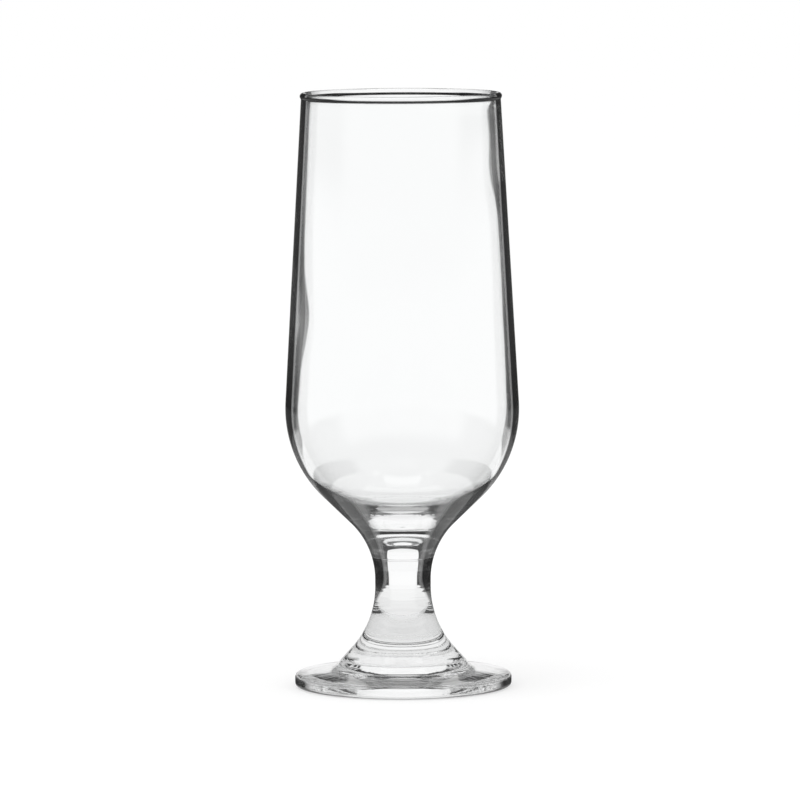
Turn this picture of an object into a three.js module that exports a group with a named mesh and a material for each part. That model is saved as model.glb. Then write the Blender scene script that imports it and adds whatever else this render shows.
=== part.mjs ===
// Stemmed beer glass: a blown bowl, a solid waisted stem and a pressed foot, fused end to end.
// Millimetres, +Z up. The origin is the centre of the foot, on the surface that the glass stands on.

import * as THREE from "three";

const degrees = THREE.MathUtils.degToRad;

// Foot
const FOOT_DIAMETER = 67;
const FOOT_EDGE_HEIGHT = 3.8; // where the upper face meets the upright edge, before rounding
const FOOT_EDGE_TOP_ROUND = 1.4;
const FOOT_EDGE_BOTTOM_ROUND = 1.2;
const FOOT_FACE_SLOPE = degrees(8.5); // rise of the upper face towards the collar
const COLLAR_HEIGHT = 2.4; // from the upper face up to the seat of the stem
const COLLAR_ROUND = 4;
const KICK_DIAMETER = 57; // shallow dome pressed up under the foot
const KICK_DEPTH = 2.5;

// Stem
const SEAT_DIAMETER = 38.6; // lower end of the stem's flare, where it is fused to the foot
const FLARE_ANGLE = degrees(42); // slope of the flare and of the collar, from the axis
const FLARE_RADIUS = 29;
const WAIST_DIAMETER = 17.2;
const WAIST_LENGTH = 2; // straight stretch between the flare and the neck
const JOINT_ABOVE_WAIST = 7; // where the stem is fused to the bowl, above the straight stretch

// Bowl, outside
const NECK_RADIUS = 24.5;
const BASE_ANGLE = degrees(46); // slope of the solid base, from the axis
const BELLY_DIAMETER = 72.2;
const BELLY_RADIUS = 38; // of the curve seen in profile
const BELLY_TO_RIM = 97.4;
const RIM_DIAMETER = 62.2; // over the bead of the lip
const LIP_PROUD = 0.35; // how far the fire-polished bead stands out from the wall, inside and outside

// Bowl, inside
const WALL_AT_RIM = 1.4;
const WALL_AT_BELLY = 1.8;
const FLOOR_ABOVE_JOINT = 15.2; // solid glass under the middle of the floor
const FLOOR_RADIUS = 105; // of the shallow dish
const FLOOR_CORNER_RADIUS = 14; // between the wall and the floor

// Fineness of the round surfaces
const CHORD_ERROR = 0.03;
const ROUND_SEGMENTS = 48;

// Points of an outline are (radius, height) pairs, held as THREE.Vector2.
const at = (radius, height) => new THREE.Vector2(radius, height);
const onCircle = (circle, angle) =>
  at(circle.centre.x + circle.radius * Math.cos(angle), circle.centre.y + circle.radius * Math.sin(angle));

/** Points along a circle between two angles, close enough together to stay within CHORD_ERROR of it. */
function arc(circle, from, to) {
  const stepAngle = 2 * Math.acos(1 - CHORD_ERROR / circle.radius);
  const steps = Math.ceil(Math.abs(to - from) / stepAngle);
  const { x, y } = circle.centre;
  return new THREE.ArcCurve(x, y, circle.radius, from, to, to < from).getPoints(steps);
}

/** The direction from one point to another, from -180 to 180 degrees. */
const signedAngle = (from, to) => Math.atan2(to.y - from.y, to.x - from.x);

/** The angle on a circle whose tangent line, going up, passes through a point above it. */
function tangentAngle(circle, point) {
  const reach = point.clone().sub(circle.centre);
  return reach.angle() - Math.acos(circle.radius / reach.length());
}

/** The outermost point that lies at given distances from two points, the second of them on the axis. */
function meeting(point, distance, axisPoint, axisDistance) {
  const across = point.clone().sub(axisPoint);
  const span = across.length();
  const along = (span ** 2 + axisDistance ** 2 - distance ** 2) / (2 * span);
  const aside = Math.sqrt(axisDistance ** 2 - along ** 2);
  const direction = across.normalize();
  const sideways = at(-direction.y, direction.x);
  return axisPoint.clone().addScaledVector(direction, along).addScaledVector(sideways, aside);
}

/** Points of an arc that rounds the corner between two straight edges. */
function rounded(before, corner, after, radius) {
  const towardsBefore = before.clone().sub(corner).normalize();
  const towardsAfter = after.clone().sub(corner).normalize();
  const halfAngle = Math.acos(towardsBefore.dot(towardsAfter)) / 2;
  const towardsCentre = towardsBefore.clone().add(towardsAfter).normalize();
  const centre = corner.clone().addScaledVector(towardsCentre, radius / Math.sin(halfAngle));
  const tangentLength = radius / Math.tan(halfAngle);
  const start = corner.clone().addScaledVector(towardsBefore, tangentLength).sub(centre).angle();
  const end = corner.clone().addScaledVector(towardsAfter, tangentLength).sub(centre).angle();
  const shortWay = THREE.MathUtils.euclideanModulo(end - start + Math.PI, 2 * Math.PI) - Math.PI;
  return arc({ centre, radius }, start, start + shortWay);
}

/** A named solid of revolution. The outline runs counter-clockwise and begins and ends on the axis. */
function revolved(name, outline, material) {
  const geometry = new THREE.LatheGeometry(outline, ROUND_SEGMENTS).rotateX(Math.PI / 2);
  const mesh = new THREE.Mesh(geometry, material);
  mesh.name = name;
  return mesh;
}

function clearGlass(tint) {
  return new THREE.MeshStandardMaterial({
    color: tint,
    roughness: 0.02,
    metalness: 0,
    transparent: true,
    opacity: 0.35,
  });
}

// Heights and radii that the pieces share, worked out from the foot upwards
const footRadius = FOOT_DIAMETER / 2;
const seatRadius = SEAT_DIAMETER / 2;
const waistRadius = WAIST_DIAMETER / 2;
const bellyRadius = BELLY_DIAMETER / 2;

const collarCornerRadius = seatRadius + COLLAR_HEIGHT * Math.tan(FLARE_ANGLE);
const collarCornerHeight = FOOT_EDGE_HEIGHT + (footRadius - collarCornerRadius) * Math.tan(FOOT_FACE_SLOPE);
const seatHeight = collarCornerHeight + COLLAR_HEIGHT;

const flareArcRadius = waistRadius + FLARE_RADIUS * (1 - Math.cos(FLARE_ANGLE));
const flareArcHeight = seatHeight + (seatRadius - flareArcRadius) / Math.tan(FLARE_ANGLE);
const waistBottom = flareArcHeight + FLARE_RADIUS * Math.sin(FLARE_ANGLE);
const waistTop = waistBottom + WAIST_LENGTH;

const flareCircle = { centre: at(waistRadius + FLARE_RADIUS, waistBottom), radius: FLARE_RADIUS };
const neckCircle = { centre: at(waistRadius + NECK_RADIUS, waistTop), radius: NECK_RADIUS };
const jointAngle = Math.PI - Math.asin(JOINT_ABOVE_WAIST / NECK_RADIUS);
const jointHeight = waistTop + JOINT_ABOVE_WAIST;

const neckEnd = onCircle(neckCircle, Math.PI - BASE_ANGLE);
const bellyArcStart = bellyRadius - BELLY_RADIUS * (1 - Math.cos(BASE_ANGLE));
const bellyHeight =
  neckEnd.y + (bellyArcStart - neckEnd.x) / Math.tan(BASE_ANGLE) + BELLY_RADIUS * Math.sin(BASE_ANGLE);
const rimHeight = bellyHeight + BELLY_TO_RIM;

function footOutline() {
  const seatEdge = at(seatRadius, seatHeight);
  const collarCorner = at(collarCornerRadius, collarCornerHeight);
  const edgeTop = at(footRadius, FOOT_EDGE_HEIGHT);
  const edgeBottom = at(footRadius, 0);
  const kickEdge = at(KICK_DIAMETER / 2, 0);
  const kickRadius = (kickEdge.x ** 2 + KICK_DEPTH ** 2) / (2 * KICK_DEPTH);
  const kickCircle = { centre: at(0, KICK_DEPTH - kickRadius), radius: kickRadius };
  const kickEdgeAngle = kickEdge.clone().sub(kickCircle.centre).angle();
  return [
    at(0, seatHeight),
    seatEdge,
    ...rounded(seatEdge, collarCorner, edgeTop, COLLAR_ROUND),
    ...rounded(collarCorner, edgeTop, edgeBottom, FOOT_EDGE_TOP_ROUND),
    ...rounded(edgeTop, edgeBottom, kickEdge, FOOT_EDGE_BOTTOM_ROUND),
    ...arc(kickCircle, kickEdgeAngle, Math.PI / 2),
  ].reverse();
}

function stemOutline() {
  return [
    at(0, seatHeight),
    at(seatRadius, seatHeight),
    ...arc(flareCircle, Math.PI + FLARE_ANGLE, Math.PI),
    ...arc(neckCircle, Math.PI, jointAngle),
    at(0, jointHeight),
  ];
}

function bowlOutline() {
  const bellyCircle = { centre: at(bellyRadius - BELLY_RADIUS, bellyHeight), radius: BELLY_RADIUS };
  const lipRadius = WALL_AT_RIM / 2 + LIP_PROUD;
  const lipCircle = { centre: at(RIM_DIAMETER / 2 - lipRadius, rimHeight - lipRadius), radius: lipRadius };
  const lipStart = -Math.acos(WALL_AT_RIM / 2 / lipRadius);
  const lipEnd = Math.PI - lipStart;

  const wallCircle = { centre: bellyCircle.centre, radius: BELLY_RADIUS - WALL_AT_BELLY };
  const floorCircle = { centre: at(0, jointHeight + FLOOR_ABOVE_JOINT + FLOOR_RADIUS), radius: FLOOR_RADIUS };
  const cornerCentre = meeting(
    wallCircle.centre,
    wallCircle.radius - FLOOR_CORNER_RADIUS,
    floorCircle.centre,
    FLOOR_RADIUS - FLOOR_CORNER_RADIUS,
  );
  const cornerCircle = { centre: cornerCentre, radius: FLOOR_CORNER_RADIUS };
  const cornerStart = signedAngle(wallCircle.centre, cornerCentre);
  const cornerEnd = signedAngle(floorCircle.centre, cornerCentre);

  return [
    at(0, jointHeight),
    ...arc(neckCircle, jointAngle, Math.PI - BASE_ANGLE),
    ...arc(bellyCircle, -BASE_ANGLE, tangentAngle(bellyCircle, onCircle(lipCircle, lipStart))),
    ...arc(lipCircle, lipStart, lipEnd),
    ...arc(wallCircle, tangentAngle(wallCircle, onCircle(lipCircle, lipEnd)), cornerStart),
    ...arc(cornerCircle, cornerStart, cornerEnd).slice(1),
    ...arc(floorCircle, cornerEnd, -Math.PI / 2).slice(1),
  ];
}

const glass = new THREE.Group();
glass.add(
  revolved("foot", footOutline(), clearGlass(0xf4f6f6)),
  revolved("stem", stemOutline(), clearGlass(0xf5f7f7)),
  revolved("bowl", bowlOutline(), clearGlass(0xf8fafa)),
);

export default glass;
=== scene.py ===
"""Stemmed beer glass of clear glass: a blown bowl, a solid stem and a pressed foot, on a white stage."""

import collections
import math

import bmesh
import bpy
from mathutils import Matrix, Vector


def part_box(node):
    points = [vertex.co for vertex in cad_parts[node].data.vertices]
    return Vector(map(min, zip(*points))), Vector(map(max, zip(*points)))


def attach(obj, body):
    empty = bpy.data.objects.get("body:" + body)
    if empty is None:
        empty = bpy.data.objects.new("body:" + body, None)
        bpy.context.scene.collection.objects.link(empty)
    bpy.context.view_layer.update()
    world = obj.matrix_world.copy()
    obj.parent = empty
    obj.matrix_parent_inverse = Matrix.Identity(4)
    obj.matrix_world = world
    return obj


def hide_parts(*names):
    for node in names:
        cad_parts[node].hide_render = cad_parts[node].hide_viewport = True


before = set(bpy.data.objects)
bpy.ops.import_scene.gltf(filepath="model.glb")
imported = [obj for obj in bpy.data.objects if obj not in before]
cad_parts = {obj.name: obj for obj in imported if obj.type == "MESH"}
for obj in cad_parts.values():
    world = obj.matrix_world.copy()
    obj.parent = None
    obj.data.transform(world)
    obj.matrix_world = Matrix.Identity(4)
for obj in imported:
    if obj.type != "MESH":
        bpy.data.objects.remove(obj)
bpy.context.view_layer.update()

bl_info = {
    "name": "Stemmed Beer Glass",
    "version": (1, 0, 0),
    "blender": (4, 5, 0),
    "location": "View3D > Sidebar > Beer Glass",
    "description": "Makes a stemmed beer glass in three fused pieces, and a white studio stage for it",
    "category": "Add Mesh",
}

MM = 0.001

# Fineness of the surfaces
SIDES = 192
CURVE_SPACING = 0.5 * MM
WALL_SPACING = 1.5 * MM
RIPPLE_SPACING = 0.2 * MM
EDGE_SPACING = 0.12 * MM
CARD_COLUMNS = 720
ROUNDING_ERROR = 1e-6

# Painted shade: glass made darker and less clear where it is seen edge on, in place of the dark surroundings
# it would show there. A pair is a value at the lower and at the upper of two heights.
PaintedEdgeShade = collections.namedtuple(
    "PaintedEdgeShade",
    (
        "upright",  # how much of the surface's upward slope counts: little on walls, more on roundings
        "heights",  # between which the values change
        "start",  # where the painted shade begins, from 0 facing the eye to 1 edge on
        "end",  # where the painted shade is full
        "dark",  # how bright the painted shade leaves the glass there
        "clear",  # how much light still passes through the painted shade there
    ),
)
ANY_HEIGHT = (0, 1)  # for a shade that is the same all the way up
# Painted shade: a faint darkening of the foot where it is nearly edge on
FOOT_EDGE = PaintedEdgeShade(
    upright=1, heights=ANY_HEIGHT, start=(0.9, 0.9), end=(1, 1), dark=(0.6, 0.6), clear=(1, 1)
)
# Painted shade: dark on the upright part of the foot's edge, faint on its upper rounding
FOOT_RIM_EDGE = PaintedEdgeShade(
    upright=1,
    heights=(3 * MM, 3.7 * MM),
    start=(0.45, 0.9),
    end=(0.6, 1),
    dark=(0.03, 0.6),
    clear=(0.6, 1),
)
# Painted shade: dark sides on the stem's waist, milder on the flare
STEM_EDGE = PaintedEdgeShade(
    upright=0.3,
    heights=(20 * MM, 34 * MM),
    start=(0.8, 0.16),
    end=(1, 0.3),
    dark=(0.3, 0.03),
    clear=(0.8, 0.35),
)
# Painted shade: grey sides on the bowl's solid base, and dark bands at the outer wall's edges higher up
WALL_EDGE = PaintedEdgeShade(
    upright=0.3,
    heights=(59 * MM, 67 * MM),
    start=(0.18, 0.63),
    end=(0.31, 0.69),
    dark=(0.13, 0.02),
    clear=(0.4, 0.25),
)
# Painted shade: a grey band at the edges of the inner wall, above the bowl's floor
INSIDE_EDGE = PaintedEdgeShade(
    upright=0.3,
    heights=(66 * MM, 76 * MM),
    start=(1, 0.655),
    end=(1.1, 0.68),
    dark=(0.15, 0.15),
    clear=(0.6, 0.6),
)
# Painted shade: dark lines along the lower half of the lip's bead
LIP_EDGE = PaintedEdgeShade(
    upright=2,
    heights=ANY_HEIGHT,
    start=(0.14, 0.14),
    end=(0.3, 0.3),
    dark=(0.02, 0.02),
    clear=(0.25, 0.25),
)

# Places of an outline whose surface has a material and a painted edge shade of its own
Zone = collections.namedtuple("Zone", "material places edge")

# Clear glass, with patches of a thin film left from drying
GLASS_IOR = 1.52
FILM_SCALE = 70
FILM_DETAIL = 6
FILM_PATCHES = (0.55, 0.8)
FILM_ROUGHNESS = 0.06
EVEN_BLEND = 0.5  # for a measure of facing that is 1 less the cosine of the angle

# Unevenness of the surfaces: rates of change round the axis and along the outline, and depth
Finish = collections.namedtuple("Finish", "around along depth")
FOOT_FINISH = Finish(14, 40, 0.03 * MM)
STEM_FINISH = Finish(1, 500, 0.004 * MM)
BOWL_FINISH = Finish(2, 30, 0.04 * MM)

# Waves left inside the bowl by blowing. The right is towards +X.
# A pair of heights is where a change begins and where it is done.
WAVE_WIDTH = 0.7  # radians round the axis
RIGHT_STEP = (143 * MM, 158 * MM)
RIGHT_STEP_DEPTH = 0.3 * MM
RIGHT_SWELL_HEIGHT = 161 * MM
RIGHT_SWELL_SPREAD = 7 * MM
RIGHT_SWELL_DEPTH = 0.15 * MM
LEFT_SWELL_HEIGHT = 114 * MM
LEFT_SWELL_SPREAD = 11 * MM
LEFT_SWELL_DEPTH = 0.5 * MM
CROSSING_TURNS = (2, 3)  # of two gentle waves that cross, round the axis
CROSSING_RISES = (9 * MM, 17 * MM)  # of each wave, per radian
CROSSING_DEPTH = 0.08 * MM
WAVES_BEGIN = (68 * MM, 84 * MM)
WAVES_END = (178 * MM, 181 * MM)

# Fine level ripples left on the stem by drawing. Rates are in radians per metre of height.
RIPPLE_DEPTH = 0.014 * MM
RIPPLE_RATE = 4.8 / MM
RIPPLE_DRIFT = 1.6  # radians by which their spacing wanders
RIPPLE_DRIFT_RATE = 0.9 / MM
RIPPLE_TILT = 0.5  # radians by which they are out of level
RIPPLE_UNEVEN = 0.4  # how much of their depth differs between the right and the left
RIPPLES_BEGIN = (22 * MM, 28 * MM)
RIPPLES_END = (38 * MM, 39.5 * MM)

# A spot of the stage: its bearing from straight behind the glass, in radians, its distance from the axis
# and its height
Spot = collections.namedtuple("Spot", "bearing radius height")

# Shades of the stage, from 0 black to 1 white. Sides are in degrees from straight behind the glass.
# A pair is where a change begins and is done.
ROOM_SHADE = 0.07
DARK_SIDE = (50, 58)  # of the dark cards behind the glass
DARK_TOP = (0.85, 1)
DARK_SHADE = 0.04
DARK_BAND_SHADE = 0.2  # of a lighter band across them
DARK_BAND_BOTTOM = (0.03, 0.05)
DARK_BAND_TOP = (0.14, 0.2)
WHITE_SIDE = (12, 14)  # of the white card between the dark ones
WHITE_TOP = (0.265, 0.305)
HORIZON_TOP = (0.14, 0.24)
FRONT_SIDE = (95, 120)
FRONT_TOP = (0.5, 0.9)
FRONT_LIGHT = 0.8
CEILING_RADIUS = 0.999  # the far cards are the ceiling inside this
CEILING_SHADE = 0.05
SKYLIGHT_SIDE = (0.45, 0.55)  # of the light opening in the ceiling
SKYLIGHT_FRONT = (-0.3, -0.2)
COLLAR_OPENING = (17.5, 19)  # sides of the white opening in the low collar
COLLAR_FRONT = (125, 140)
COLLAR_FOOT = 22 * MM  # lower edge of the dark beside the opening
COLLAR_FOOT_DROP = 9 * MM  # of that edge further round
COLLAR_FOOT_DROP_SIDE = (20, 40)
COLLAR_FOOT_BLUR = 1 * MM
COLLAR_DARK = 0.03
COLLAR_DARK_AROUND = 0.08
COLLAR_AROUND_SIDE = (55, 75)
# Painted shade: the collar's white is greyer low down, near the floor
COLLAR_WHITE_BELOW = 0.93
COLLAR_WHITE_HEIGHT = (16 * MM, 26 * MM)
# Painted shadow on the floor as the glass shows it: greyer under and near the foot
FLOOR_UNDER_FOOT = 0.78
FLOOR_FOOT_GAIN = 0.08
FLOOR_FOOT_RADIUS = (28 * MM, 38 * MM)
FLOOR_OPEN_GAIN = 0.14
FLOOR_OPEN_RADIUS = (60 * MM, 250 * MM)
# Painted at low angles: shadow close to the glass, and a reflection of dark cards beside the panel
LOW_FLOOR_NEAR = 0.12
LOW_FLOOR_NEAR_RADIUS = (50 * MM, 100 * MM)
LOW_FLOOR_SPREAD = 0.17  # how fast the painted reflection of the dark cards moves apart, away from the glass
LOW_FLOOR_SIDE = (66 * MM, 76 * MM)
LOW_FLOOR_DARK = 0.2

# The stage's floor, cards, lamp and camera
FLOOR_RINGS = 60
FLOOR_REACH = 15
FLOOR_DROP = 0.2 * MM
FLOOR_GREY = (0.5, 0.5, 0.5, 1)
FLOOR_GLOW = 0.5
FLOOR_SLANT = (0.789, 0.818)  # from the higher to the lower angles at which the floor is seen in the glass, where the painted low-angle shade comes in
CARD_ROWS = 60
CEILING_ROWS = 40
COLLAR_RADIUS = 70 * MM
COLLAR_BOTTOM = 6 * MM
COLLAR_ROW = 1 * MM
COLLAR_ROWS = 34
PANEL_OUTLINE = ((63 * MM, 0), (63 * MM, 80 * MM), (60 * MM, 150 * MM))  # half width and height
LAMP_SIZE = 1.2
LAMP_POWER = 4.5
LAMP_PLACE = (-0.3, -0.4, 1.5)
CAMERA_SENSOR = 36
CAMERA_REACH = 60
LIGHT_BOUNCES = 40

FOOT_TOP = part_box("foot")[1]
STEM_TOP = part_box("stem")[1]
BOWL_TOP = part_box("bowl")[1]


def length(name, description, default):
    """A size in metres that a user can change."""
    return bpy.props.FloatProperty(
        name=name, description=description, default=default, unit="LENGTH", precision=5
    )


def angle(name, description, default_degrees):
    """An angle that a user can change."""
    return bpy.props.FloatProperty(
        name=name, description=description, default=math.radians(default_degrees), subtype="ANGLE"
    )


def colour(name, description, default):
    """A colour that a user can change."""
    return bpy.props.FloatVectorProperty(
        name=name, description=description, default=default, subtype="COLOR", min=0, max=1
    )


class BeerGlassFoot(bpy.types.PropertyGroup):
    """Sizes of the foot."""

    radius: length("Radius", "Over the upright edge", FOOT_TOP[0])
    seat_height: length("Seat height", "Where the stem is fused on", FOOT_TOP[2])
    edge_height: length("Edge height", "Where the upper face meets the edge, before rounding", 3.8 * MM)
    edge_top_round: length("Upper rounding", "Of the edge", 1.4 * MM)
    edge_bottom_round: length("Lower rounding", "Of the edge", 1.2 * MM)
    collar_height: length("Collar height", "From the upper face to the seat", 2.4 * MM)
    collar_round: length("Collar rounding", "Between the collar and the upper face", 4 * MM)
    kick_radius: length("Hollow radius", "Of the shallow dome underneath", 28.5 * MM)
    kick_depth: length("Hollow depth", "At the axis", 2.5 * MM)


class BeerGlassStem(bpy.types.PropertyGroup):
    """Sizes of the stem."""

    seat_radius: length("Seat radius", "Lower end of the flare", STEM_TOP[0])
    joint_height: length("Joint height", "Where the bowl is fused on", STEM_TOP[2])
    flare_angle: angle("Flare angle", "Slope of the flare, from the axis", 42)
    flare_curve: length("Flare curve", "Of the curve between the waist and the flare", 29 * MM)
    waist_radius: length("Waist radius", "At the narrowest", 8.6 * MM)
    neck_curve: length("Neck curve", "Of the curve between the waist and the bowl", 24.5 * MM)
    joint_above_waist: length("Joint above waist", "From the start of the neck curve", 7 * MM)
    seam_round: length("Seam rounding", "Edge of each piece along the fused rings", 0.12 * MM)


class BeerGlassBowl(bpy.types.PropertyGroup):
    """Sizes of the bowl."""

    rim_height: length("Rim height", "Top of the lip", BOWL_TOP[2])
    belly_radius: length("Belly radius", "At the widest", BOWL_TOP[0])
    belly_curve: length("Belly curve", "Of the belly seen in profile", 38 * MM)
    belly_to_rim: length("Belly to rim", "Height of the upper wall", 97.4 * MM)
    base_angle: angle("Base angle", "Slope of the solid base, from the axis", 46)
    rim_radius: length("Rim radius", "Over the bead of the lip", 31.1 * MM)
    wall_at_rim: length("Wall at rim", "Thickness below the lip", 1.4 * MM)
    wall_at_belly: length("Wall at belly", "Thickness at the widest", 1.8 * MM)
    lip_proud: length("Lip bead", "How far the bead stands out from the wall", 0.35 * MM)
    lip_hollow: length("Lip hollow", "Rounding between the bead and the wall", 1 * MM)
    floor_above_joint: length("Floor above joint", "Solid glass under the middle of the floor", 15.2 * MM)
    floor_curve: length("Floor curve", "Of the shallow dish", 105 * MM)
    corner_curve: length("Floor corner", "Between the wall and the floor", 14 * MM)


class BeerGlassFinish(bpy.types.PropertyGroup):
    """Finish of the glass."""

    tint: colour("Tint", "Colour of the clear glass", (0.985, 0.99, 0.99))


class BeerGlassStage(bpy.types.PropertyGroup):
    """Camera, floor and cards."""

    camera_distance: length("Camera distance", "Level distance from the axis", 2.0)
    camera_height: length("Camera height", "Above the floor", 0.275)
    camera_lens: bpy.props.FloatProperty(
        name="Lens", description="Focal length in mm", default=293.0, unit="CAMERA"
    )
    aim_height: length("Aim height", "Point of the axis at the middle of the picture", 0.0886)
    aim_side: length("Aim to the side", "Of the axis, at the middle of the picture", -0.00067)
    camera_roll: angle("Camera roll", "Slight turn of the picture", -0.25)
    card_distance: length("Card distance", "From the axis to the cards round the glass", 1.0)
    card_height: length("Card height", "Of the cards", 1.2)
    panel_distance: length("Panel distance", "From the axis to the white panel behind the glass", 0.165)


def on_circle(centre, radius, turn):
    """A point (radius, height) of an outline, on a circle."""
    return (centre[0] + radius * math.cos(turn), centre[1] + radius * math.sin(turn))


def arc(centre, radius, start, end, spacing):
    """Points of an outline along a circle from one angle to another."""
    steps = max(2, math.ceil(abs(end - start) * radius / spacing))
    return [on_circle(centre, radius, start + (end - start) * i / steps) for i in range(steps + 1)]


def rounded(before, corner, after, radius, spacing):
    """Points of an arc that rounds the corner between two straight stretches."""
    corner = Vector(corner)
    to_before = (Vector(before) - corner).normalized()
    to_after = (Vector(after) - corner).normalized()
    half = to_before.angle(to_after) / 2
    centre = corner + (to_before + to_after).normalized() * radius / math.sin(half)
    reach = radius / math.tan(half)
    first = corner + to_before * reach - centre
    last = corner + to_after * reach - centre
    start = math.atan2(first.y, first.x)
    turn = math.remainder(math.atan2(last.y, last.x) - start, math.tau)
    return arc(centre, radius, start, start + turn, spacing)


def tangent_turn(centre, radius, point):
    """The angle on a circle whose tangent line, going up, passes through a point above it."""
    reach = Vector(point) - Vector(centre)
    return math.atan2(reach.y, reach.x) - math.acos(radius / reach.length)


def meeting(point, distance, axis_point, axis_distance):
    """The outermost point at given distances from two points, the second of them on the axis."""
    across = Vector(point) - Vector(axis_point)
    along = (across.length_squared + axis_distance ** 2 - distance ** 2) / (2 * across.length)
    aside = math.sqrt(axis_distance ** 2 - along ** 2)
    direction = across.normalized()
    return Vector(axis_point) + direction * along + Vector((-direction.y, direction.x)) * aside


def turn_towards(start, end):
    """The direction from one point of an outline to another."""
    return math.atan2(end[1] - start[1], end[0] - start[0])


def joined(*stretches):
    """One outline from stretches of points, with straight lines of points between them."""
    outline = list(stretches[0])
    for stretch in stretches[1:]:
        start = outline[-1]
        end = stretch[0]
        steps = math.ceil(math.dist(start, end) / WALL_SPACING - ROUNDING_ERROR)
        for step in range(1, steps):
            outline.append(tuple(a + (b - a) * step / steps for a, b in zip(start, end)))
        outline += stretch if steps else stretch[1:]
    return outline


def revolve(name, outline, fused_start=False, fused_end=False, swell=None, swollen=(), zones=()):
    """A closed object made by turning an outline, which begins and ends on the axis, about the axis.

    The first or the last disc can be a fused face, which takes the second material. Zones take the others.
    swell gives the outward shift of a point from its turn and height, at the outline's places in swollen.
    """
    mesh = bmesh.new()
    first = mesh.verts.new((0, 0, outline[0][1]))
    last = mesh.verts.new((0, 0, outline[-1][1]))
    rings = []
    for place, (radius, height) in enumerate(outline[1:-1], start=1):
        ring = []
        for side in range(SIDES):
            turn = math.tau * side / SIDES
            out = radius + (swell(turn, height) if swell and place in swollen else 0)
            ring.append(mesh.verts.new((out * math.cos(turn), out * math.sin(turn), height)))
        rings.append(ring)
    for side in range(SIDES):
        after = (side + 1) % SIDES
        mesh.faces.new((first, rings[0][after], rings[0][side])).material_index = int(fused_start)
        mesh.faces.new((last, rings[-1][side], rings[-1][after])).material_index = int(fused_end)
        for place, (lower, upper) in enumerate(zip(rings, rings[1:]), start=1):
            face = mesh.faces.new((lower[side], lower[after], upper[after], upper[side]))
            for number, zone in enumerate(zones, start=2):
                if place in zone.places:
                    face.material_index = number
    for face in mesh.faces:
        face.smooth = True
    for ring, fused in ((rings[0], fused_start), (rings[-1], fused_end)):
        for vertex, after in zip(ring, ring[1:] + ring[:1]):
            mesh.edges.get((vertex, after)).smooth = not fused
    data = bpy.data.meshes.new(name)
    mesh.to_mesh(data)
    mesh.free()
    piece = bpy.data.objects.new(name, data)
    bpy.context.scene.collection.objects.link(piece)
    return piece


def smooth(low, high, value):
    """Rises smoothly from 0 at low to 1 at high."""
    part = min(1, max(0, (value - low) / (high - low)))
    return part * part * (3 - 2 * part)


def lobe(middle, spread, value):
    """Rises smoothly to 1 at the middle and falls away on both sides."""
    return math.exp(-(((value - middle) / spread) ** 2))


def wall_wave(turn, height):
    """How far the inside of the bowl is moved out by the waves left from blowing."""
    on_right = lobe(0, WAVE_WIDTH, math.remainder(turn, math.tau))
    on_left = lobe(0, WAVE_WIDTH, math.remainder(turn - math.pi, math.tau))
    step = RIGHT_STEP_DEPTH * smooth(*RIGHT_STEP, height)
    right = RIGHT_SWELL_DEPTH * lobe(RIGHT_SWELL_HEIGHT, RIGHT_SWELL_SPREAD, height)
    left = LEFT_SWELL_DEPTH * lobe(LEFT_SWELL_HEIGHT, LEFT_SWELL_SPREAD, height)
    rising = math.sin(CROSSING_TURNS[0] * turn + height / CROSSING_RISES[0])
    falling = math.sin(CROSSING_TURNS[1] * turn - height / CROSSING_RISES[1])
    free = smooth(*WAVES_BEGIN, height) * (1 - smooth(*WAVES_END, height))
    return -(on_right * (step + right) + on_left * left + CROSSING_DEPTH * rising * falling) * free


def stem_ripple(turn, height):
    """How far the stem's surface is moved out by the fine level ripples left from drawing."""
    drift = RIPPLE_DRIFT * math.sin(RIPPLE_DRIFT_RATE * height)
    ripple = math.sin(RIPPLE_RATE * height + drift + RIPPLE_TILT * math.sin(turn))
    depth = RIPPLE_DEPTH * (1 - RIPPLE_UNEVEN + RIPPLE_UNEVEN * math.cos(turn))
    free = smooth(*RIPPLES_BEGIN, height) * (1 - smooth(*RIPPLES_END, height))
    return ripple * depth * free


def between(outline, low, high):
    """Places of the points of an outline that lie between two heights."""
    return {place for place, point in enumerate(outline) if low < point[1] < high}


def foot_outline(foot, stem):
    """From the middle of the hollow underneath, out to the edge and back in to the seat of the stem."""
    seat_edge = (stem.seat_radius, foot.seat_height)
    collar = (
        stem.seat_radius + foot.collar_height * math.tan(stem.flare_angle),
        foot.seat_height - foot.collar_height,
    )
    edge_top = (foot.radius, foot.edge_height)
    edge_bottom = (foot.radius, 0)
    kick_edge = (foot.kick_radius, 0)
    kick_curve = (foot.kick_radius ** 2 + foot.kick_depth ** 2) / (2 * foot.kick_depth)
    kick_centre = (0, foot.kick_depth - kick_curve)
    kick_turn = math.acos(foot.kick_radius / kick_curve)
    seat = (0, foot.seat_height)
    return joined(
        arc(kick_centre, kick_curve, math.pi / 2, kick_turn, CURVE_SPACING),
        rounded(kick_edge, edge_bottom, edge_top, foot.edge_bottom_round, EDGE_SPACING),
        rounded(edge_bottom, edge_top, collar, foot.edge_top_round, EDGE_SPACING),
        rounded(edge_top, collar, seat_edge, foot.collar_round, CURVE_SPACING),
        rounded(collar, seat_edge, seat, stem.seam_round, EDGE_SPACING),
    ) + [seat]


def waist_bottom(foot, stem):
    """Height where the flare's curve meets the waist."""
    curve_radius = stem.waist_radius + stem.flare_curve * (1 - math.cos(stem.flare_angle))
    cone = (stem.seat_radius - curve_radius) / math.tan(stem.flare_angle)
    return foot.seat_height + cone + stem.flare_curve * math.sin(stem.flare_angle)


def waist_top(stem):
    """Height where the neck's curve meets the waist."""
    return stem.joint_height - stem.joint_above_waist


def neck_centre(stem):
    """Centre of the neck's curve, which the stem and the bowl share."""
    return (stem.waist_radius + stem.neck_curve, waist_top(stem))


def joint_turn(stem):
    """Where on the neck's curve the stem ends and the bowl begins."""
    return math.pi - math.asin(stem.joint_above_waist / stem.neck_curve)


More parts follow.
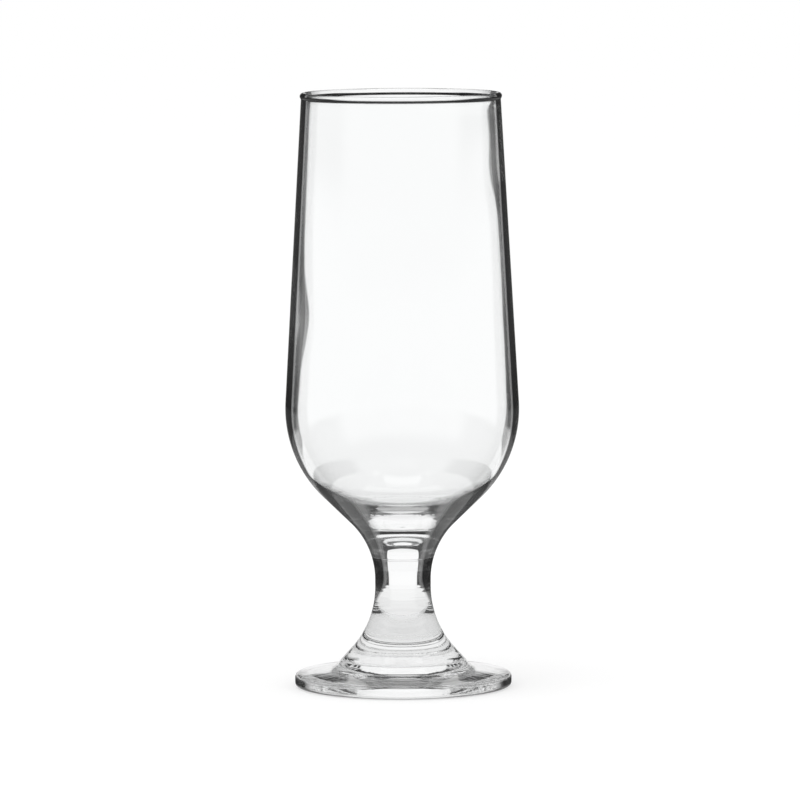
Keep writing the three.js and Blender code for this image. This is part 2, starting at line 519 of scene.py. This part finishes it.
def stem_outline(foot, stem):
    """From the seat on the foot up to the fused face under the bowl."""
    flare_centre = (stem.waist_radius + stem.flare_curve, waist_bottom(foot, stem))
    seat = (0, foot.seat_height)
    seat_edge = (stem.seat_radius, foot.seat_height)
    flare = arc(flare_centre, stem.flare_curve, math.pi + stem.flare_angle, math.pi, RIPPLE_SPACING)
    neck = arc(neck_centre(stem), stem.neck_curve, math.pi, joint_turn(stem), RIPPLE_SPACING)
    top = (0, stem.joint_height)
    return [seat] + joined(
        rounded(seat, seat_edge, flare[0], stem.seam_round, EDGE_SPACING),
        flare,
        neck[:-1],
        rounded(neck[-2], neck[-1], top, stem.seam_round, EDGE_SPACING),
    ) + [top]


def lip_outline(bowl, tilt):
    """Up the outside of the lip's bead and down its inside, with a hollow rounding to the wall below."""
    half_wall = bowl.wall_at_rim / 2
    radius = half_wall + bowl.lip_proud
    x = bowl.rim_radius - radius
    z = bowl.rim_height - radius
    spread = math.acos((half_wall + bowl.lip_hollow) / (radius + bowl.lip_hollow))
    drop = (radius + bowl.lip_hollow) * math.sin(spread)
    outer = (x + half_wall + bowl.lip_hollow, z - drop)
    inner = (x - half_wall - bowl.lip_hollow, z - drop)
    return joined(
        arc(outer, bowl.lip_hollow, math.pi + tilt, math.pi - spread, EDGE_SPACING),
        arc((x, z), radius, -spread, math.pi + spread, EDGE_SPACING),
        arc(inner, bowl.lip_hollow, spread, tilt, EDGE_SPACING),
    )


def bowl_outline(stem, bowl):
    """From the fused face under the base, up the outside, over the lip and down to the floor's middle."""
    belly_height = bowl.rim_height - bowl.belly_to_rim
    belly_centre = (bowl.belly_radius - bowl.belly_curve, belly_height)
    tilt = tangent_turn(belly_centre, bowl.belly_curve, (bowl.rim_radius - bowl.lip_proud, bowl.rim_height))
    lip = lip_outline(bowl, tilt)

    wall_curve = bowl.belly_curve - bowl.wall_at_belly
    floor_centre = (0, stem.joint_height + bowl.floor_above_joint + bowl.floor_curve)
    corner_centre = meeting(
        belly_centre, wall_curve - bowl.corner_curve, floor_centre, bowl.floor_curve - bowl.corner_curve
    )
    corner_start = turn_towards(belly_centre, corner_centre)
    corner_end = turn_towards(floor_centre, corner_centre)

    belly_turn = tangent_turn(belly_centre, bowl.belly_curve, lip[0])
    wall_turn = tangent_turn(belly_centre, wall_curve, lip[-1])
    joint = (0, stem.joint_height)
    neck_end = math.pi - bowl.base_angle
    neck = arc(neck_centre(stem), stem.neck_curve, joint_turn(stem), neck_end, CURVE_SPACING)
    return [joint] + joined(
        rounded(joint, neck[0], neck[1], stem.seam_round, EDGE_SPACING),
        neck[1:],
        arc(belly_centre, bowl.belly_curve, -bowl.base_angle, belly_turn, CURVE_SPACING),
        lip,
        arc(belly_centre, wall_curve, wall_turn, corner_start, CURVE_SPACING),
        arc(corner_centre, bowl.corner_curve, corner_start, corner_end, CURVE_SPACING),
        arc(floor_centre, bowl.floor_curve, corner_end, -math.pi / 2, CURVE_SPACING),
    )


def link(tree, source, output, target, socket):
    """Links an output of one node to an input of another."""
    tree.links.new(source.outputs[output], target.inputs[socket])


def maths_node(tree, kind, operation):
    """A new node that does one operation, on numbers or on vectors."""
    node = tree.nodes.new(kind)
    node.operation = operation
    return node


def by_height(tree, heights, values):
    """A number that changes from one value to another between two heights."""
    place = tree.nodes.new("ShaderNodeTexCoord")
    split = tree.nodes.new("ShaderNodeSeparateXYZ")
    link(tree, place, "Object", split, 0)
    change = tree.nodes.new("ShaderNodeMapRange")
    change.interpolation_type = "SMOOTHSTEP"
    change.inputs["From Min"].default_value = heights[0]
    change.inputs["From Max"].default_value = heights[1]
    change.inputs["To Min"].default_value = values[0]
    change.inputs["To Max"].default_value = values[1]
    link(tree, split, "Z", change, "Value")
    return change


def grain(tree, around, along):
    """Noise that changes at its own rates round the axis and along the outline."""
    place = tree.nodes.new("ShaderNodeTexCoord")
    flat = maths_node(tree, "ShaderNodeVectorMath", "MULTIPLY")
    flat.inputs[1].default_value = (1, 1, 0)
    link(tree, place, "Object", flat, 0)
    radius = maths_node(tree, "ShaderNodeVectorMath", "LENGTH")
    link(tree, flat, 0, radius, 0)
    bearing = maths_node(tree, "ShaderNodeVectorMath", "NORMALIZE")
    link(tree, flat, 0, bearing, 0)
    split = tree.nodes.new("ShaderNodeSeparateXYZ")
    link(tree, place, "Object", split, 0)
    rise = maths_node(tree, "ShaderNodeMath", "SUBTRACT")
    link(tree, split, "Z", rise, 0)
    link(tree, radius, "Value", rise, 1)
    up = tree.nodes.new("ShaderNodeCombineXYZ")
    link(tree, rise, 0, up, "Z")
    both = maths_node(tree, "ShaderNodeVectorMath", "ADD")
    link(tree, bearing, 0, both, 0)
    link(tree, up, 0, both, 1)
    rates = maths_node(tree, "ShaderNodeVectorMath", "MULTIPLY")
    rates.inputs[1].default_value = (around, around, along)
    link(tree, both, 0, rates, 0)
    noise = tree.nodes.new("ShaderNodeTexNoise")
    noise.inputs["Scale"].default_value = 1
    link(tree, rates, 0, noise, "Vector")
    return noise


def add_surface(tree, shader, finish):
    """Faint unevenness of the surface and a thin film left from drying."""
    relief = tree.nodes.new("ShaderNodeBump")
    relief.inputs["Distance"].default_value = finish.depth
    link(tree, grain(tree, finish.around, finish.along), 0, relief, "Height")
    link(tree, relief, 0, shader, "Normal")
    place = tree.nodes.new("ShaderNodeTexCoord")
    film = tree.nodes.new("ShaderNodeTexNoise")
    film.inputs["Scale"].default_value = FILM_SCALE
    film.inputs["Detail"].default_value = FILM_DETAIL
    link(tree, place, "Object", film, "Vector")
    blur = tree.nodes.new("ShaderNodeMapRange")
    blur.inputs["From Min"].default_value = FILM_PATCHES[0]
    blur.inputs["From Max"].default_value = FILM_PATCHES[1]
    blur.inputs["To Max"].default_value = FILM_ROUGHNESS
    link(tree, film, 0, blur, "Value")
    link(tree, blur, 0, shader, "Roughness")


def edge_on(tree, edge):
    """A node whose Facing output is how far the surface is turned from the eye, from 0 to 1 edge on, which
    sets where the glass's shade is painted.
    """
    surface = tree.nodes.new("ShaderNodeNewGeometry")
    level = maths_node(tree, "ShaderNodeVectorMath", "MULTIPLY")
    level.inputs[1].default_value = (1, 1, edge.upright)
    link(tree, surface, "Normal", level, 0)
    sideways = maths_node(tree, "ShaderNodeVectorMath", "NORMALIZE")
    link(tree, level, 0, sideways, 0)
    facing = tree.nodes.new("ShaderNodeLayerWeight")
    facing.inputs["Blend"].default_value = EVEN_BLEND
    link(tree, sideways, 0, facing, "Normal")
    return facing


def clear_glass(name, tint, edge, finish):
    """Clear glass with painted shade: its colour and the light it passes are turned down where it is seen
    edge on.
    """
    material = bpy.data.materials.new(name)
    material.use_nodes = True
    tree = material.node_tree
    shader = tree.nodes["Principled BSDF"]
    add_surface(tree, shader, finish)
    shader.inputs["IOR"].default_value = GLASS_IOR
    shader.inputs["Specular IOR Level"].default_value = 0
    # Painted shade, from 1 facing the eye to the dark value edge on, set into the colour
    shade = tree.nodes.new("ShaderNodeMapRange")
    shade.inputs["To Min"].default_value = 1
    link(tree, edge_on(tree, edge), "Facing", shade, "Value")
    link(tree, by_height(tree, edge.heights, edge.start), 0, shade, "From Min")
    link(tree, by_height(tree, edge.heights, edge.end), 0, shade, "From Max")
    link(tree, by_height(tree, edge.heights, edge.dark), 0, shade, "To Max")
    tinted = maths_node(tree, "ShaderNodeVectorMath", "SCALE")
    tinted.inputs[0].default_value = tint
    link(tree, shade, 0, tinted, "Scale")
    link(tree, tinted, 0, shader, "Base Color")
    # The painted shade also lets less light pass
    clear = tree.nodes.new("ShaderNodeMapRange")
    link(tree, shade, 0, clear, "Value")
    link(tree, by_height(tree, edge.heights, edge.clear), 0, clear, "To Min")
    link(tree, clear, 0, shader, "Transmission Weight")
    return material


def fused_face(name):
    """The face inside a fused joint, which light passes as if it weren't there."""
    material = bpy.data.materials.new(name)
    material.use_nodes = True
    material.node_tree.nodes["Principled BSDF"].inputs["Alpha"].default_value = 0
    return material


def set_in_place(piece, node, slot, edge, finish, zones=()):
    """Gives a piece its materials and sets it in place of its solid."""
    tint = bpy.context.scene.beer_glass_finish.tint
    piece.data.materials.append(clear_glass(slot, tint, edge, finish))
    piece.data.materials.append(fused_face(node + "_fused_face"))
    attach(piece, "root")
    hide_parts(node)
    for zone in zones:
        piece.data.materials.append(clear_glass(zone.material, tint, zone.edge, finish))


class BEERGLASS_OT_foot(bpy.types.Operator):
    """Makes the foot"""

    bl_idname = "beerglass.foot"
    bl_label = "Foot"

    def execute(self, context):
        foot = context.scene.beer_glass_foot
        outline = foot_outline(foot, context.scene.beer_glass_stem)
        # The foot's edge takes a painted edge shade of its own
        inner = foot.radius - foot.edge_bottom_round
        rim = {place for place, point in enumerate(outline) if point[0] > inner}
        zones = [Zone("foot_rim_glass", rim, FOOT_RIM_EDGE)]
        piece = revolve("foot_glass_disc", outline, fused_end=True, zones=zones)
        set_in_place(piece, "foot", "foot_glass", FOOT_EDGE, FOOT_FINISH, zones)
        return {"FINISHED"}


class BEERGLASS_OT_stem(bpy.types.Operator):
    """Makes the stem"""

    bl_idname = "beerglass.stem"
    bl_label = "Stem"

    def execute(self, context):
        outline = stem_outline(context.scene.beer_glass_foot, context.scene.beer_glass_stem)
        piece = revolve(
            "stem_glass_column",
            outline,
            fused_start=True,
            fused_end=True,
            swell=stem_ripple,
            swollen=range(len(outline)),
        )
        set_in_place(piece, "stem", "stem_glass", STEM_EDGE, STEM_FINISH)
        return {"FINISHED"}


class BEERGLASS_OT_bowl(bpy.types.Operator):
    """Makes the bowl"""

    bl_idname = "beerglass.bowl"
    bl_label = "Bowl"

    def execute(self, context):
        bowl = context.scene.beer_glass_bowl
        outline = bowl_outline(context.scene.beer_glass_stem, bowl)
        heights = [point[1] for point in outline]
        top = heights.index(max(heights))
        inside = range(top, len(outline))
        # The inner wall and the part below the lip's bead take painted edge shades of their own
        bead = bowl.wall_at_rim / 2 + bowl.lip_proud
        below_bead = between(outline, bowl.rim_height - 2 * bead, bowl.rim_height - bead)
        zones = [
            Zone("bowl_inside_glass", inside, INSIDE_EDGE),
            Zone("bowl_lip_glass", below_bead, LIP_EDGE),
        ]
        piece = revolve(
            "bowl_glass_cup", outline, fused_start=True, swell=wall_wave, swollen=inside, zones=zones
        )
        set_in_place(piece, "bowl", "bowl_glass", WALL_EDGE, BOWL_FINISH, zones)
        return {"FINISHED"}


def seen_in_glass(tree):
    """A node whose output is 1 for rays that were bent or mirrored by glass."""
    path = tree.nodes.new("ShaderNodeLightPath")
    either = maths_node(tree, "ShaderNodeMath", "MAXIMUM")
    link(tree, path, "Is Glossy Ray", either, 0)
    link(tree, path, "Is Transmission Ray", either, 1)
    return either


def blend(first, last, part):
    """A value part of the way from one to another."""
    return first + (last - first) * part


def side_of(spot):
    """Degrees to either side from straight behind the glass."""
    return math.degrees(abs(spot.bearing))


def ceiling_shade(spot):
    """How bright the ceiling is: dark, with a light opening over and behind the glass."""
    across = spot.radius * math.sin(abs(spot.bearing))
    along = spot.radius * math.cos(spot.bearing)
    skylight = (1 - smooth(*SKYLIGHT_SIDE, across)) * smooth(*SKYLIGHT_FRONT, along)
    return blend(CEILING_SHADE, 1, skylight)


def card_shade(spot):
    """How bright the far cards are: dark ones behind the glass, a white one between, and a light front."""
    if spot.radius < CEILING_RADIUS:
        return ceiling_shade(spot)
    side = side_of(spot)
    dark_part = (1 - smooth(*DARK_SIDE, side)) * (1 - smooth(*DARK_TOP, spot.height))
    band = smooth(*DARK_BAND_BOTTOM, spot.height) * (1 - smooth(*DARK_BAND_TOP, spot.height))
    dark = blend(DARK_SHADE, DARK_BAND_SHADE, band)
    room = blend(ROOM_SHADE, dark, dark_part)
    horizon = (1 - smooth(*HORIZON_TOP, spot.height)) * (1 - dark_part)
    front = FRONT_LIGHT * smooth(*FRONT_SIDE, side) * (1 - smooth(*FRONT_TOP, spot.height))
    white = (1 - smooth(*WHITE_SIDE, side)) * (1 - smooth(*WHITE_TOP, spot.height))
    return blend(room, 1, max(horizon, front, white))


def collar_shade(spot):
    """How bright the low cards close to the glass are: white behind it, greyer low down as painted shade,
    and dark beside that.
    """
    side = side_of(spot)
    foot = COLLAR_FOOT - COLLAR_FOOT_DROP * smooth(*COLLAR_FOOT_DROP_SIDE, side)
    above_foot = smooth(foot - COLLAR_FOOT_BLUR, foot + COLLAR_FOOT_BLUR, spot.height)
    dark_part = smooth(*COLLAR_OPENING, side) * above_foot * (1 - smooth(*COLLAR_FRONT, side))
    # Painted shade near the floor
    white = blend(COLLAR_WHITE_BELOW, 1, smooth(*COLLAR_WHITE_HEIGHT, spot.height))
    dark = blend(COLLAR_DARK, COLLAR_DARK_AROUND, smooth(*COLLAR_AROUND_SIDE, side))
    return blend(white, dark, dark_part)


def floor_shade(spot):
    """How bright the floor is in the glass: painted shadow, greyer near and under the foot, where less light
    comes.
    """
    beside_foot = FLOOR_FOOT_GAIN * smooth(*FLOOR_FOOT_RADIUS, spot.radius)
    in_the_open = FLOOR_OPEN_GAIN * smooth(*FLOOR_OPEN_RADIUS, spot.radius)
    return FLOOR_UNDER_FOOT + beside_foot + in_the_open


def low_floor_shade(spot):
    """How bright the floor is in the glass at low angles: a painted reflection of dark cards beside the
    panel, and painted shadow close to the glass.
    """
    beside = spot.radius * (math.sin(abs(spot.bearing)) - LOW_FLOOR_SPREAD * math.cos(spot.bearing))
    dark_part = (1 - smooth(*DARK_SIDE, side_of(spot))) * smooth(*LOW_FLOOR_SIDE, beside)
    # Painted shadow close to the glass
    near = blend(LOW_FLOOR_NEAR, 1, smooth(*LOW_FLOOR_NEAR_RADIUS, spot.radius))
    return near * floor_shade(spot) * blend(1, LOW_FLOOR_DARK, dark_part)


def graded_sheet(name, outline, shades):
    """A sheet made by turning an open outline about the axis, with named shades of grey at each corner."""
    mesh = bmesh.new()
    layers = [(mesh.loops.layers.float_color.new(shade), shade_of) for shade, shade_of in shades.items()]
    grid = []
    for column in range(CARD_COLUMNS):
        bearing = math.tau * column / CARD_COLUMNS
        across = math.sin(bearing)
        along = math.cos(bearing)
        points = [(radius * across, radius * along, height) for radius, height in outline]
        grid.append([mesh.verts.new(point) for point in points])
    for near, far in zip(grid, grid[1:] + grid[:1]):
        for row in range(len(outline) - 1):
            face = mesh.faces.new((near[row], far[row], far[row + 1], near[row + 1]))
            for loop in face.loops:
                x, y, z = loop.vert.co
                spot = Spot(math.atan2(x, y), math.hypot(x, y), z)
                for layer, shade_of in layers:
                    value = shade_of(spot)
                    loop[layer] = (value, value, value, 1)
    bmesh.ops.remove_doubles(mesh, verts=mesh.verts, dist=ROUNDING_ERROR)
    data = bpy.data.meshes.new(name)
    mesh.to_mesh(data)
    mesh.free()
    sheet = bpy.data.objects.new(name, data)
    bpy.context.scene.collection.objects.link(sheet)
    return sheet


def empty_material(name):
    """A material with only an output, and that output."""
    material = bpy.data.materials.new(name)
    material.use_nodes = True
    material.node_tree.nodes.clear()
    return material, material.node_tree.nodes.new("ShaderNodeOutputMaterial")


def shade_glow(tree, shade):
    """Light of one of the sheet's own shades."""
    attribute = tree.nodes.new("ShaderNodeAttribute")
    attribute.attribute_name = shade
    glow = tree.nodes.new("ShaderNodeEmission")
    link(tree, attribute, "Color", glow, "Color")
    return glow


def floor_in_glass(tree):
    """The floor's painted shade in the glass, which turns to its painted reflection of dark cards at low
    angles.
    """
    slant = tree.nodes.new("ShaderNodeLayerWeight")
    slant.inputs["Blend"].default_value = EVEN_BLEND
    low = tree.nodes.new("ShaderNodeMapRange")
    low.interpolation_type = "SMOOTHSTEP"
    low.inputs["From Min"].default_value = FLOOR_SLANT[0]
    low.inputs["From Max"].default_value = FLOOR_SLANT[1]
    link(tree, slant, "Facing", low, "Value")
    shade = tree.nodes.new("ShaderNodeMixShader")
    link(tree, low, 0, shade, 0)
    link(tree, shade_glow(tree, "shade"), 0, shade, 1)
    link(tree, shade_glow(tree, "low_shade"), 0, shade, 2)
    return shade


def add_floor(stage):
    """A floor that is white to the camera, with the glass's shadow on it, and graded grey in the glass:
    painted shadow near the foot and a painted reflection of dark cards at low angles.
    """
    rings = [stage.card_distance * (ring / FLOOR_RINGS) ** 2 for ring in range(FLOOR_RINGS + 1)]
    floor = graded_sheet(
        "floor",
        [(radius, -FLOOR_DROP) for radius in rings + [FLOOR_REACH]],
        {"shade": floor_shade, "low_shade": low_floor_shade},
    )
    material, output = empty_material("white_floor")
    tree = material.node_tree
    diffuse = tree.nodes.new("ShaderNodeBsdfDiffuse")
    diffuse.inputs["Color"].default_value = FLOOR_GREY
    glow = tree.nodes.new("ShaderNodeEmission")
    glow.inputs["Strength"].default_value = FLOOR_GLOW
    white = tree.nodes.new("ShaderNodeAddShader")
    link(tree, diffuse, 0, white, 0)
    link(tree, glow, 0, white, 1)
    mix = tree.nodes.new("ShaderNodeMixShader")
    link(tree, seen_in_glass(tree), 0, mix, 0)
    link(tree, white, 0, mix, 1)
    link(tree, floor_in_glass(tree), 0, mix, 2)
    link(tree, mix, 0, output, 0)
    floor.data.materials.append(material)


def show_in_glass_only(card):
    """Keeps a card out of the camera's sight, and keeps its light and shadow off the floor."""
    card.visible_camera = False
    card.visible_diffuse = False
    card.visible_shadow = False


def add_card(name, outline, shade_of):
    """A graded card round the glass, which only shows in the glass."""
    card = graded_sheet(name, outline, {"shade": shade_of})
    show_in_glass_only(card)
    material, output = empty_material(name)
    link(material.node_tree, shade_glow(material.node_tree, "shade"), 0, output, 0)
    card.data.materials.append(material)


def add_cards(stage):
    """Cards all round the glass, white behind it and dark beside that, with a ceiling and a low collar."""
    wall = [(stage.card_distance, stage.card_height * row / CARD_ROWS) for row in range(CARD_ROWS)]
    inwards = [1 - row / CEILING_ROWS for row in range(CEILING_ROWS + 1)]
    ceiling = [(stage.card_distance * part, stage.card_height) for part in inwards]
    collar = [(COLLAR_RADIUS, COLLAR_BOTTOM + COLLAR_ROW * row) for row in range(COLLAR_ROWS)]
    add_card("far_cards", wall + ceiling, card_shade)
    add_card("low_collar", collar, collar_shade)


def add_panel(stage):
    """A white panel close behind the glass, narrower towards the top, which only shows in the glass."""
    mesh = bmesh.new()
    edges = []
    for half_width, height in PANEL_OUTLINE:
        edges.append([mesh.verts.new((x, stage.panel_distance, height)) for x in (-half_width, half_width)])
    for low, high in zip(edges, edges[1:]):
        mesh.faces.new((low[0], low[1], high[1], high[0]))
    data = bpy.data.meshes.new("panel")
    mesh.to_mesh(data)
    mesh.free()
    panel = bpy.data.objects.new("panel", data)
    show_in_glass_only(panel)
    bpy.context.scene.collection.objects.link(panel)
    material, output = empty_material("white_panel")
    glow = material.node_tree.nodes.new("ShaderNodeEmission")
    link(material.node_tree, glow, 0, output, 0)
    data.materials.append(material)


def add_world():
    """White light from all round."""
    world = bpy.data.worlds.new("studio")
    bpy.context.scene.world = world
    world.use_nodes = True
    world.node_tree.nodes["Background"].inputs["Color"].default_value = (1, 1, 1, 1)


def add_lamp():
    """A large soft lamp overhead."""
    data = bpy.data.lights.new("overhead_lamp", "AREA")
    data.shape = "DISK"
    data.size = LAMP_SIZE
    data.energy = LAMP_POWER
    lamp = bpy.data.objects.new("overhead_lamp", data)
    lamp.location = LAMP_PLACE
    lamp.visible_glossy = False
    lamp.rotation_euler = (-lamp.location).to_track_quat("-Z", "Y").to_euler()
    bpy.context.scene.collection.objects.link(lamp)


def add_camera(stage):
    """The camera in front of the glass, a little above its rim."""
    data = bpy.data.cameras.new("camera")
    data.lens = stage.camera_lens
    data.sensor_width = CAMERA_SENSOR
    data.clip_end = CAMERA_REACH
    camera = bpy.data.objects.new("camera", data)
    place = Vector((0, -stage.camera_distance, stage.camera_height))
    aim = Vector((stage.aim_side, 0, stage.aim_height))
    look = (aim - place).to_track_quat("-Z", "Y").to_matrix().to_4x4()
    camera.matrix_world = Matrix.Translation(place) @ look @ Matrix.Rotation(stage.camera_roll, 4, "Z")
    bpy.context.scene.collection.objects.link(camera)
    bpy.context.scene.camera = camera


class BEERGLASS_OT_stage(bpy.types.Operator):
    """Makes the floor, the cards, the light and the camera"""

    bl_idname = "beerglass.stage"
    bl_label = "Stage"

    def execute(self, context):
        scene = context.scene
        stage = scene.beer_glass_stage
        add_floor(stage)
        add_cards(stage)
        add_panel(stage)
        add_world()
        add_lamp()
        add_camera(stage)
        scene.view_settings.view_transform = "Standard"
        scene.cycles.max_bounces = LIGHT_BOUNCES
        scene.cycles.transmission_bounces = LIGHT_BOUNCES
        scene.cycles.glossy_bounces = LIGHT_BOUNCES
        scene.cycles.transparent_max_bounces = LIGHT_BOUNCES
        return {"FINISHED"}


class BEERGLASS_PT_sidebar(bpy.types.Panel):
    """Makes the glass piece by piece"""

    bl_idname = "BEERGLASS_PT_sidebar"
    bl_label = "Beer Glass"
    bl_space_type = "VIEW_3D"
    bl_region_type = "UI"
    bl_category = "Beer Glass"

    def draw(self, context):
        for operator in OPERATORS:
            self.layout.operator(operator.bl_idname)


SETTINGS = {
    "beer_glass_foot": BeerGlassFoot,
    "beer_glass_stem": BeerGlassStem,
    "beer_glass_bowl": BeerGlassBowl,
    "beer_glass_finish": BeerGlassFinish,
    "beer_glass_stage": BeerGlassStage,
}
OPERATORS = (BEERGLASS_OT_foot, BEERGLASS_OT_stem, BEERGLASS_OT_bowl, BEERGLASS_OT_stage)


def register():
    """Adds the settings, operators and panel to Blender."""
    for name, group in SETTINGS.items():
        bpy.utils.register_class(group)
        setattr(bpy.types.Scene, name, bpy.props.PointerProperty(type=group))
    for cls in (*OPERATORS, BEERGLASS_PT_sidebar):
        bpy.utils.register_class(cls)


def unregister():
    """Takes the panel, operators and settings out of Blender."""
    for cls in (BEERGLASS_PT_sidebar, *reversed(OPERATORS)):
        bpy.utils.unregister_class(cls)
    for name, group in reversed(SETTINGS.items()):
        delattr(bpy.types.Scene, name)
        bpy.utils.unregister_class(group)


def main():
    """Makes the whole glass and its stage."""
    register()
    bpy.ops.beerglass.foot()
    bpy.ops.beerglass.stem()
    bpy.ops.beerglass.bowl()
    bpy.ops.beerglass.stage()


if __name__ == "__main__":
    main()
